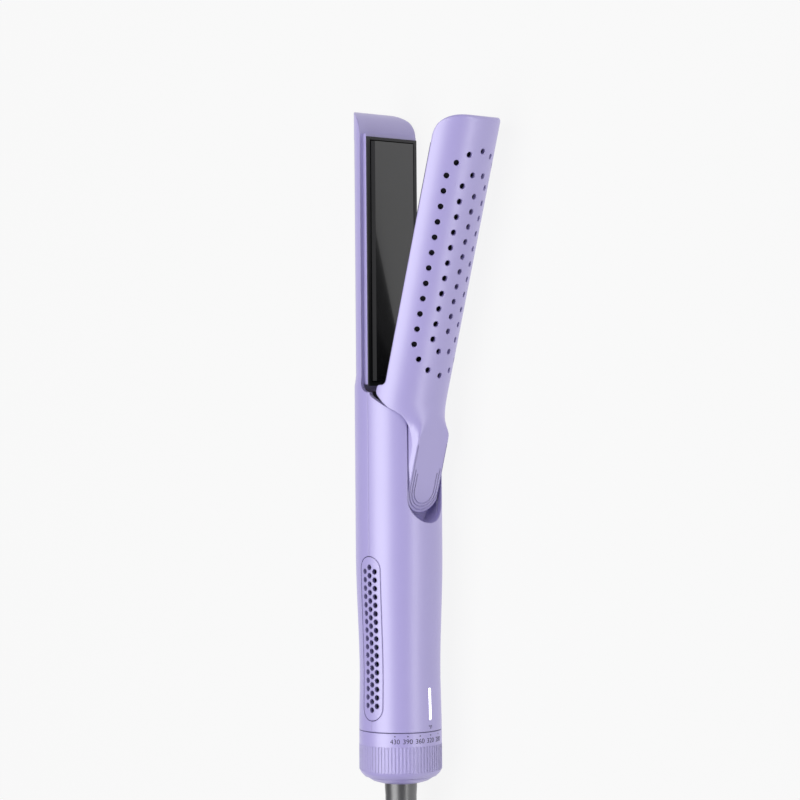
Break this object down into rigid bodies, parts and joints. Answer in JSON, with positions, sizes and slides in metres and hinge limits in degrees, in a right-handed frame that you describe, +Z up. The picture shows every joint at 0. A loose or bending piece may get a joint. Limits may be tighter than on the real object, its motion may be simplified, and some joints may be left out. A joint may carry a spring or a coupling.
{
  "type": "flat iron",
  "caption": "Airflow flat iron: round handle with a temperature dial and vents, a fixed arm and a sprung perforated arm with heater plates and a thumb lever, and a mains cord.",
  "frame": {"origin": "on the surface it lies on, under the middle of the box round the iron without its cord", "axes": "+X from the cord end to the tips, -Y the way the moving arm opens, +Z up through one of the two vent grilles"},
  "size_m": [0.6554, 0.0746, 0.0382],
  "materials": {
    "lilac_shell": "satin, softly reflecting",
    "dial_lilac": "satin, printed scale",
    "black_frame": "matt",
    "dark_plate": "glossy ceramic coat",
    "grey_plastic": "matt",
    "black_chassis": "matt",
    "steel": "plain",
    "brass": "plain",
    "board": "lacquered",
    "light_pipe": "frosted",
    "silicone": "matt",
    "heater_ceramic": "matt ceramic",
    "boot_rubber": "satin",
    "lead_insulation": "satin",
    "cord_rubber": "satin",
    "tie_fabric": "hook and loop"
  },
  "bodies": {
    "handle": {"back_shell": "lilac_shell", "front_shell": "lilac_shell", "lever_well": "lilac_shell", "vent_grille_upper": "lilac_shell", "vent_grille_lower": "lilac_shell", "filter_upper": "black_frame", "filter_lower": "black_frame", "fan_housing": "black_frame", "motor": "steel", "motor_mount": "silicone", "air_duct": "grey_plastic", "main_board": "board", "board_parts": "grey_plastic", "led_board": "board", "light_pipe": "light_pipe", "fixed_frame": "black_frame", "fixed_plate_springs": "silicone", "hinge_pin": "steel", "hinge_bushes": "brass", "hinge_brackets": "steel", "bracket_bridge": "black_frame", "bracket_screws": "steel", "closing_spring": "steel", "dial_track": "board", "dial_spindle": "grey_plastic", "click_spring": "steel", "end_cap": "lilac_shell", "swivel_retainer": "black_frame", "contact_block": "brass", "internal_leads": "lead_insulation", "cord_lead": "cord_rubber", "cord_hank": "cord_rubber", "plug_lead": "cord_rubber", "cord_tie": "tie_fabric", "plug_body": "cord_rubber", "plug_blades": "brass"},
    "fixed_plate_carrier": {"fixed_plate": "dark_plate", "fixed_heater": "heater_ceramic", "fixed_heater_clip": "steel", "thermistor": "brass", "thermal_fuse": "brass"},
    "moving_arm": {"arm_shell": "lilac_shell", "arm_chassis": "black_chassis", "arm_air_guide": "black_frame", "arm_frame": "black_frame", "arm_plate_springs": "silicone", "arm_screws": "steel"},
    "arm_plate_carrier": {"arm_plate": "dark_plate", "arm_heater": "heater_ceramic", "arm_heater_clip": "steel"},
    "fan_rotor": {"motor_shaft": "steel", "impeller": "grey_plastic"},
    "temperature_dial": {"dial_ring": "dial_lilac", "dial_wiper": "brass"},
    "cord_end": {"swivel_core": "boot_rubber", "cord_boot": "boot_rubber"}
  },
  "joints": [
    {"name": "clamp_hinge", "type": "hinge", "parent": "handle", "child": "moving_arm", "pos_m": [0.0324, 0.01323, 0.0191], "axis": [0, 0, -1], "range_deg": [-15.4, 0], "stiffness_Nm_per_rad": 0.6, "springref_deg": -29.79, "deforming": ["closing_spring"]},
    {"name": "arm_plate_float", "type": "slide", "parent": "moving_arm", "child": "arm_plate_carrier", "axis": [-0.2656, -0.9641, 0], "range_m": [0, 0.0008], "stiffness_N_per_m": 5000, "deforming": ["arm_plate_springs"]},
    {"name": "fixed_plate_float", "type": "slide", "parent": "handle", "child": "fixed_plate_carrier", "axis": [0, 1, 0], "range_m": [0, 0.0008], "stiffness_N_per_m": 5000, "deforming": ["fixed_plate_springs"]},
    {"name": "dial_turn", "type": "hinge", "parent": "handle", "child": "temperature_dial", "pos_m": [-0.1116, 0.01823, 0.0191], "axis": [1, 0, 0], "range_deg": [-36, 54]},
    {"name": "cord_swivel", "type": "hinge", "parent": "handle", "child": "cord_end", "pos_m": [-0.1226, 0.01823, 0.0191], "axis": [1, 0, 0], "continuous": true},
    {"name": "fan_spin", "type": "hinge", "parent": "handle", "child": "fan_rotor", "pos_m": [-0.0476, 0.01823, 0.0191], "axis": [1, 0, 0], "continuous": true}
  ]
}
